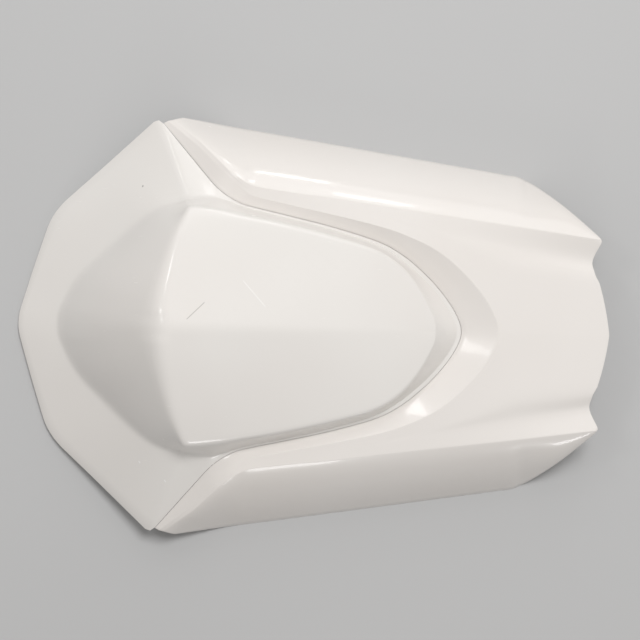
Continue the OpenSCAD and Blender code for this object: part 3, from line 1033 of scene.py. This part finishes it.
@dataclass(kw_only=True)
class HumpCover(Moulding):
    """The centre moulding: pointed apron, humped front, side walls and falling top.

    Attributes:
        strap_screws: the screws that hold the strap.
        crown_start: key point from which the top has its full crown.
        brow_fade: key point at which the top has lost the brow's bow.
        nose_soft: rounding of the rim's corners, in key points.
        foot_soft: rounding of the front's foot on the centre line, in key points.
        foot_firm: key point from which the front's foot isn't rounded.
        bulge_way: direction in which the front bulges.
    """

    strap_screws: list[Spot]
    name: str = "hump_cover"
    slot: Slot = Slot.COVER
    nodes: Sequence[str] = ("centre_cover",)
    top_steps: int = 44
    wall_steps: int = 14
    face_bulge: float = 2.0
    top_bulge: float = 1.6
    crown_start: float = 2.0
    brow_fade: float = 4.0
    nose_soft: float = 0.28
    foot_soft: float = 0.45
    foot_firm: float = 2.0
    bulge_way: Triple = (-0.7, 0, 0.7)
    wing_stations: Sequence[float] = (0.03, 0.07, 0.12, 0.19, 0.28, 0.4, 0.55, 0.7, 0.85, 1.0)
    screw_post: Post = Post(lift=5.4, wide=8.0, bore=3.4, deep=8.6)
    strap_post: Post = Post(lift=4.4, wide=10.0, bore=3.4, deep=8.6)

    def top_point(self, t: float, share: float) -> Point:
        """Return the point of the top at row t and at a share of the way to its side edge.

        Args:
            t: row, in key points along the hump.
            share: 0 on the centre line, 1 on the side edge.

        Returns:
            The point, in millimetres.
        """
        lines, brow = self.lines, self.lines.brow
        centre, side = lines.spine.at(t), lines.edge.at(t)
        bow = brow.at(lines.front_corner * share) - brow.points[0].lerp(brow.points[-1], share)
        fade = clamp(1 - t / self.brow_fade)
        crown = self.top_bulge * arch(share) * min(1, t / self.crown_start) * (1 - t / lines.apex)
        return centre.lerp(side, share) + bow * fade**2 + UP * crown

    def front_point(self, share: float, climb: float) -> Point:
        """Return the point of the front at a share of the way to the corner.

        Args:
            share: 0 on the centre line, 1 on the fold to the side wall.
            climb: 0 on the rim, 1 at the hump's foot, 2 on its ridge.

        Returns:
            The point, in millimetres.
        """
        lines = self.lines
        t = lines.front_corner * share
        soft = self.foot_soft * clamp(1 - t / self.foot_firm)
        foot = lines.foot.softened(t, soft, lines.foot.at)
        if climb <= 1:
            return lines.rim.softened(t, self.nose_soft, lines.rim.chord).lerp(foot, climb)
        bulge = self.face_bulge * (1 - share**2) * arch(climb - 1)
        return foot.lerp(lines.brow.at(t), climb - 1) + Vector(self.bulge_way) * bulge

    def side_point(self, t: float, drop: float) -> Point:
        """Return the point of the side at row t.

        Args:
            t: row, in key points along the hump.
            drop: 0 on the top's edge, 1 at the foot of the wall, 2 at the seam.

        Returns:
            The point, in millimetres.
        """
        foot = self.lines.wall_foot.at(t)
        if drop <= 1:
            return self.lines.edge.at(t).lerp(foot, drop)
        return foot.lerp(self.lines.lip(t), drop - 1)

    def face_sheet(self) -> Sheet:
        """Draw the moulding's outer face.

        Returns:
            One open, rounded sheet.
        """
        sheet = Sheet()
        across = shares(self.top_steps)
        drops = shares(self.wall_steps) + [1 + station for station in self.wing_stations]
        sheet.patch(across, sorted(2 - drop for drop in drops), self.front_point)
        rows = spread(self.lines.edge, 0, self.lines.apex, self.pitch)
        sheet.patch(rows, across, self.top_point)
        sheet.patch(rows, drops, self.side_point)
        sheet.close()
        tip = [self.lines.lip(0)]
        sheet.trim(tip, passes=1, reach=2.5)
        sheet.soften(self.roundings() + [Rounding(tip, passes=3, reach=3.0)])
        return sheet

    def roundings(self) -> list[Rounding]:
        """Say how softly each line of the moulding is rounded.

        Returns:
            One rounding for each line.
        """
        lines, point = self.lines, self.front_point
        fold = sampled(lambda climb: point(1, climb), 1.01, 2, 99)
        wing_fold = sampled(lambda climb: point(1, climb), 0.1, 1, 90)
        nose = sampled(lambda climb: point(0, climb), 1.1, 2, 90)
        return [
            Rounding(sampled(lines.brow.at, 0, lines.front_corner), passes=5, reach=6.0),
            Rounding(sampled(lines.edge.at, 0, lines.apex), passes=6, reach=7.0),
            Rounding(fold, passes=7, reach=8.0),
            Rounding(wing_fold, passes=2, reach=4.0),
            Rounding(sampled(lines.foot.at, 0, lines.front_corner), passes=3, reach=5.0),
            Rounding(sampled(lines.wall_foot.at, 0, lines.bend), passes=5, reach=7.0),
            Rounding(sampled(lines.wall_foot.at, lines.bend, lines.apex), passes=1, reach=2.0),
            Rounding(sampled(lines.spine.at, 0, lines.apex), passes=12, reach=11.0),
            Rounding(nose, passes=10, reach=10.0),
        ]

    def add_underside(self, forms: Underside) -> None:
        """Add the posts that screws and buffers sit in.

        Args:
            forms: what is moulded onto the inner side.
        """
        for spot in self.screws:
            forms.post(spot, self.screw_post)
        for spot in self.strap_screws:
            forms.post(spot, self.strap_post)
        for spot in self.buffers:
            if spot.x < 0:
                forms.post(spot, self.buffer_post)


class Value:
    """A shader value that builds Math nodes when Python's operators are used on it."""

    def __init__(self, maker: NodeMaker, socket: bpy.types.NodeSocket) -> None:
        """Wrap an output socket of the maker's material."""
        self.maker = maker
        self.socket = socket

    def math(self, operation: str, *others: Value | float) -> Value:
        """Add a Math node.

        Args:
            operation: the node's operation.
            others: its inputs after this value.

        Returns:
            The node's result.
        """
        inputs = dict(enumerate((self, *others)))
        made = self.maker.node("ShaderNodeMath", {"operation": operation}, inputs)
        return Value(self.maker, made.outputs[0])

    def __add__(self, other: Value | float) -> Value:
        """Return self + other."""
        return self.math("ADD", other)

    __radd__ = __add__

    def __sub__(self, other: Value | float) -> Value:
        """Return self - other."""
        return self.math("SUBTRACT", other)

    def __rsub__(self, other: float) -> Value:
        """Return other - self."""
        return self * -1 + other

    def __mul__(self, other: Value | float) -> Value:
        """Return self * other."""
        return self.math("MULTIPLY", other)

    __rmul__ = __mul__

    def fade(self, full: float, none: float) -> Value:
        """Turn this value into a mask with a smooth run between two limits.

        Args:
            full: value at which the mask is 1.
            none: value at which the mask is 0.

        Returns:
            The mask.
        """
        made = self.maker.node(
            "ShaderNodeMapRange", {"interpolation_type": "SMOOTHSTEP"},
            {"Value": self, "From Min": none, "From Max": full})
        return Value(self.maker, made.outputs[0])


class NodeMaker:
    """Makes the nodes of one material."""

    def __init__(self, name: str) -> None:
        """Start a material with one shader at its output.

        Args:
            name: the material's name.
        """
        self.material = bpy.data.materials.new(name)
        self.material.use_nodes = True
        self.tree = self.material.node_tree
        self.tree.nodes.clear()
        self.shader = self.node("ShaderNodeBsdfPrincipled", {}, {})
        self.node("ShaderNodeOutputMaterial", {}, {"Surface": self.shader.outputs[0]})
        self.place = self.node("ShaderNodeTexCoord", {}, {}).outputs["Object"]

    def node(self, kind: str, settings: dict[str, object],
             inputs: dict[str | int, object]) -> bpy.types.Node:
        """Make a node, set its settings and then fill or link its sockets.

        Args:
            kind: the node's type.
            settings: attributes that are set first.
            inputs: values, sockets or Values by the name or number of an input.

        Returns:
            The node.
        """
        made = self.tree.nodes.new(kind)
        for key, value in settings.items():
            setattr(made, key, value)
        self.fill(made, inputs)
        return made

    def fill(self, made: bpy.types.Node, inputs: dict[str | int, object]) -> None:
        """Link or set sockets of a node.

        Args:
            made: the node.
            inputs: values, sockets or Values by the name or number of an input.
        """
        for key, value in inputs.items():
            if isinstance(value, Value):
                value = value.socket
            if isinstance(value, bpy.types.NodeSocket):
                self.tree.links.new(value, made.inputs[key])
            else:
                made.inputs[key].default_value = value

    def feed(self, **inputs: object) -> None:
        """Fill sockets of the shader, with their names written with underscores."""
        self.fill(self.shader, {key.replace("_", " "): value for key, value in inputs.items()})

    def noise(self, scale: float, detail: float, roughness: float = 0.5,
              stretch: Triple = (1, 1, 1), turn: float = 0.0) -> Value:
        """Return a noise pattern in object space.

        Args:
            scale: waves a metre.
            detail: octaves.
            roughness: share of the fine octaves.
            stretch: how much finer the pattern is along each axis.
            turn: turn of the pattern about the upright axis, in degrees.

        Returns:
            The pattern, from 0 to 1 around 0.5.
        """
        mapped = self.node("ShaderNodeMapping", {}, {
            "Vector": self.place, "Scale": stretch, "Rotation": (0, 0, math.radians(turn))})
        made = self.node("ShaderNodeTexNoise", {}, {
            "Vector": mapped.outputs[0], "Scale": scale, "Detail": detail, "Roughness": roughness})
        return Value(self, made.outputs[0])

    def axis(self, axis: Axis) -> Value:
        """Return one coordinate of object space, in metres."""
        made = self.node("ShaderNodeSeparateXYZ", {}, {0: self.place})
        return Value(self, made.outputs[axis.value])

    def blend(self, share: Value, low: Colour | bpy.types.NodeSocket,
              high: Colour) -> bpy.types.NodeSocket:
        """Mix two colours.

        Args:
            share: how much of the second colour is in the mix.
            low: the first colour, or a socket that gives it.
            high: the second colour.

        Returns:
            The socket of the mixed colour.
        """
        start = low if isinstance(low, bpy.types.NodeSocket) else (*low, 1)
        made = self.node("ShaderNodeMix", {"data_type": "RGBA"},
                         {0: share, 6: start, 7: (*high, 1)})
        return made.outputs[2]

    def bump(self, height: Value, distance: float, strength: float) -> None:
        """Feed the shader's normal from a height pattern.

        Args:
            height: the pattern.
            distance: its depth, in metres.
            strength: share of the depth that is used.
        """
        made = self.node("ShaderNodeBump", {}, {
            "Height": height, "Distance": distance, "Strength": strength})
        self.feed(Normal=made.outputs[0])


@dataclass(frozen=True)
class Mark:
    """A fine scratch or a small spot of colour seen from above, in millimetres."""

    start: tuple[float, float]
    end: tuple[float, float]
    width: float
    colour: Colour = (0.3, 0.28, 0.26)
    strength: float = 0.6

    def mask(self, maker: NodeMaker, x: Value, y: Value) -> Value:
        """Return 1 on the mark and 0 away from it.

        Args:
            maker: makes the material's nodes.
            x: place along the part, in metres.
            y: place across the part, in metres.

        Returns:
            The mask.
        """
        ax, ay = (v * MM for v in self.start)
        bx, by = (v * MM for v in self.end)
        run = math.hypot(bx - ax, by - ay)
        ux, uy = (bx - ax) / run, (by - ay) / run
        along = (x - ax) * ux + (y - ay) * uy
        off = ((x - ax) * uy - (y - ay) * ux).math("ABSOLUTE")
        past = (along.math("PINGPONG", run) - along).math("ABSOLUTE")
        return off.fade(0, self.width * MM) * past.fade(0, MM)


COVER_MARKS = (
    Mark((-70.9, 4.7), (-61.3, 14.5), 0.45),
    Mark((-38.6, 28.1), (-25.5, 13.5), 0.35, (0.95, 0.94, 0.92), 0.8),
    Mark((-105.2, 86.9), (-105.0, 87.6), 0.7, (0.2, 0.19, 0.18), 0.7),
    # two small near-white spots near the front's -Y corner, lighter than the plastic round them
    Mark((-103.6, -85.4), (-103.0, -86.2), 0.6, (0.97, 0.96, 0.95), 0.8),
    Mark((-87.0, -96.4), (-86.4, -97.4), 0.6, (0.97, 0.96, 0.95), 0.8),
)


@dataclass(frozen=True)
class WhitePlastic:
    """Gloss white moulded plastic with a faint unevenness, dust and a few marks."""

    name: str
    colour: Colour
    shade: Colour
    roughness: float
    marks: tuple[Mark, ...] = ()
    coat: float = 0.5
    coat_roughness: float = 0.05

    def material(self) -> bpy.types.Material:
        """Make the finish.

        Returns:
            The material.
        """
        maker = NodeMaker(self.name)
        cloud = maker.noise(9, detail=2)
        dust = maker.noise(160, detail=2)
        base = maker.blend(cloud.fade(0.7, 0.3), self.shade, self.colour)
        x, y = maker.axis(Axis.X), maker.axis(Axis.Y)
        for mark in self.marks:
            base = maker.blend(mark.mask(maker, x, y) * mark.strength, base, mark.colour)
        hairlines = maker.noise(60, detail=2, roughness=0.6, stretch=(1, 24, 1), turn=31)
        rough = self.roughness + (cloud - 0.5) * 0.06
        rough = rough + hairlines.fade(0.7, 0.64) * 0.05 + dust.fade(0.72, 0.62) * 0.04
        maker.feed(Base_Color=base, Roughness=rough, IOR=1.5, Coat_Weight=self.coat,
                   Coat_Roughness=self.coat_roughness)
        maker.bump(maker.noise(30, detail=1), distance=0.0001, strength=0.08)
        return maker.material


@dataclass(frozen=True)
class Metal:
    """Plain metal with a fine grain and a little tarnish."""

    name: str
    colour: Colour
    shade: Colour
    roughness: float
    metallic: float = 1.0

    def material(self) -> bpy.types.Material:
        """Make the finish.

        Returns:
            The material.
        """
        maker = NodeMaker(self.name)
        grain = maker.noise(900, detail=3, roughness=0.6, stretch=(1, 1, 6))
        cloud = maker.noise(70, detail=4)
        base = maker.blend(cloud.fade(0.65, 0.35), self.shade, self.colour)
        maker.feed(Base_Color=base, Metallic=self.metallic,
                   Roughness=self.roughness + (grain - 0.5) * 0.2)
        maker.bump(grain, distance=0.00004, strength=0.3)
        return maker.material


@dataclass(frozen=True)
class Rubber:
    """Matte black rubber with a fine skin."""

    name: str = "buffer_rubber"
    colour: Colour = (0.05, 0.05, 0.048)
    shade: Colour = (0.02, 0.02, 0.02)
    roughness: float = 0.68

    def material(self) -> bpy.types.Material:
        """Make the finish.

        Returns:
            The material.
        """
        maker = NodeMaker(self.name)
        skin = maker.noise(700, detail=4, roughness=0.6)
        cloud = maker.noise(60, detail=3)
        base = maker.blend(cloud.fade(0.7, 0.35), self.shade, self.colour)
        maker.feed(Base_Color=base, Roughness=self.roughness + (skin - 0.5) * 0.2)
        maker.bump(skin, distance=0.0001, strength=0.4)
        return maker.material


def dress(frame: dict, node: str, material: bpy.types.Material) -> None:
    """Give a CAD node that stays its material.

    Args:
        node: the node's name.
        material: its finish.
    """
    piece = frame["nodes"][node]
    for slot in piece.material_slots:
        slot.material = material
    smooth_shaded(piece.data, sharp=35.0)
    LOG.info("%s: dressed in %s", node, material.name)


@dataclass(frozen=True)
class Lamp:
    """One soft square lamp that points at the cowl.

    Attributes:
        name: the lamp's name.
        place: where it hangs, in metres.
        size: edge of its square, in metres.
        watts: its power.
        mirrored: whether glossy surfaces show its reflection.
    """

    name: str
    place: Triple
    size: float
    watts: float
    mirrored: bool = True

    def hang(self) -> None:
        """Add the lamp to the scene."""
        data = bpy.data.lights.new(self.name, "AREA")
        data.size, data.energy = self.size, self.watts
        lamp = bpy.data.objects.new(self.name, data)
        lamp.location = self.place
        lamp.rotation_mode = "QUATERNION"
        lamp.rotation_quaternion = (-Vector(self.place)).to_track_quat("-Z", "Y")
        lamp.visible_glossy = self.mirrored
        show(lamp)


@dataclass
class Studio:
    """Plain pale floor, soft light from the cowl's left and above, and the overhead camera."""

    floor_grey: float = 0.52
    floor_half: float = 4.0
    camera_height: float = 1.0
    view_width: float = 0.4128
    centre: tuple[float, float] = (0.0079, 0.0057)
    roll: float = 1.25
    sensor: float = 36.0
    sky: Colour = (1.0, 0.98, 0.96)
    sky_strength: float = 0.35
    lamps: tuple[Lamp, ...] = (
        Lamp("key_softbox", (0.36, 0.72, 1.85), 0.7, 23.5, mirrored=False),
        Lamp("side_softbox", (0.3, 1.9, 0.9), 1.4, 5),
        Lamp("flank_window", (0.16, 1.47, 0.22), 0.1, 0.2),
        Lamp("top_window", (0.26, 1.24, 0.54), 0.12, 0.25),
        Lamp("seam_window", (-0.15, 1.17, 0.75), 0.1, 0.12),
        Lamp("wing_window", (-0.54, 1.07, 0.77), 0.1, 0.12),
        Lamp("brow_window", (-0.42, 0.84, 1.04), 0.15, 0.5),
        Lamp("front_window", (-0.7, 0.35, 1.15), 0.25, 0.9),
        Lamp("near_window", (0.12, -1.2, 0.68), 0.2, 0.8),
        Lamp("tail_window", (0.58, -1.25, 0.36), 0.12, 0.4),
    )

    def floor(self) -> None:
        """Lay the floor that the cowl rests on."""
        bm = bmesh.new()
        bmesh.ops.create_grid(bm, x_segments=1, y_segments=1, size=self.floor_half)
        maker = NodeMaker("floor_paper")
        grey = self.floor_grey
        maker.feed(Base_Color=(grey, grey, grey, 1), Roughness=0.9, Specular_IOR_Level=0.1)
        floor = made_object(bm, "floor", maker.material)
        floor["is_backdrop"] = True

    def camera(self) -> None:
        """Hang the camera straight above the cowl."""
        data = bpy.data.cameras.new("overhead")
        data.sensor_width = self.sensor
        data.lens = self.sensor * self.camera_height / self.view_width
        camera = bpy.data.objects.new("overhead", data)
        camera.location = (*self.centre, self.camera_height)
        camera.rotation_euler = (0, 0, math.radians(self.roll))
        show(camera)
        bpy.context.scene.camera = camera

    def world(self) -> None:
        """Surround the cowl with an even, slightly warm light."""
        world = bpy.data.worlds.new("studio")
        world.use_nodes = True
        ground = world.node_tree.nodes["Background"]
        ground.inputs["Color"].default_value = (*self.sky, 1)
        ground.inputs["Strength"].default_value = self.sky_strength
        bpy.context.scene.world = world

    def build(self) -> None:
        """Set up floor, camera and light."""
        self.floor()
        self.camera()
        for lamp in self.lamps:
            lamp.hang()
        self.world()
        bpy.context.scene.view_settings.view_transform = "Standard"


def main() -> None:
    """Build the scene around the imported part."""
    logging.basicConfig(level=logging.INFO, format="%(name)s: %(message)s")
    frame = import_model()
    cad_low, cad_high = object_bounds()
    size = (cad_high - cad_low) / MM
    lines = CowlLines(length=size.x, width=2 * cad_high.y / MM)
    screws, strap_screws = spots(frame, "cover_screws"), spots(frame, "strap_screws")
    buffers = spots(frame, "rubber_buffers")

    Studio().build()
    cover = HumpCover(lines=lines, screws=screws, strap_screws=strap_screws, buffers=buffers)
    cover.build(WhitePlastic("cover_plastic", (0.806, 0.782, 0.75), (0.788, 0.757, 0.724), 0.22,
                             COVER_MARKS).material())
    surround = Surround(lines=lines, screws=screws, buffers=buffers)
    surround.build(WhitePlastic("shell_plastic", (0.812, 0.776, 0.742), (0.792, 0.752, 0.714),
                                0.2).material())

    zinc = Metal("zinc_plate", (0.62, 0.62, 0.6), (0.5, 0.5, 0.47), 0.36).material()
    plate = Metal("rod_plate", (0.7, 0.7, 0.68), (0.55, 0.55, 0.52), 0.25).material()
    black = Metal("black_coat", (0.05, 0.05, 0.05), (0.03, 0.03, 0.03), 0.45, 0.0).material()
    dress(frame, "cover_screws", zinc)
    dress(frame, "strap_screws", zinc)
    dress(frame, "striker_loop", plate)
    dress(frame, "latch_strap", black)
    dress(frame, "rubber_buffers", Rubber().material())


if __name__ == "__main__":
    main()
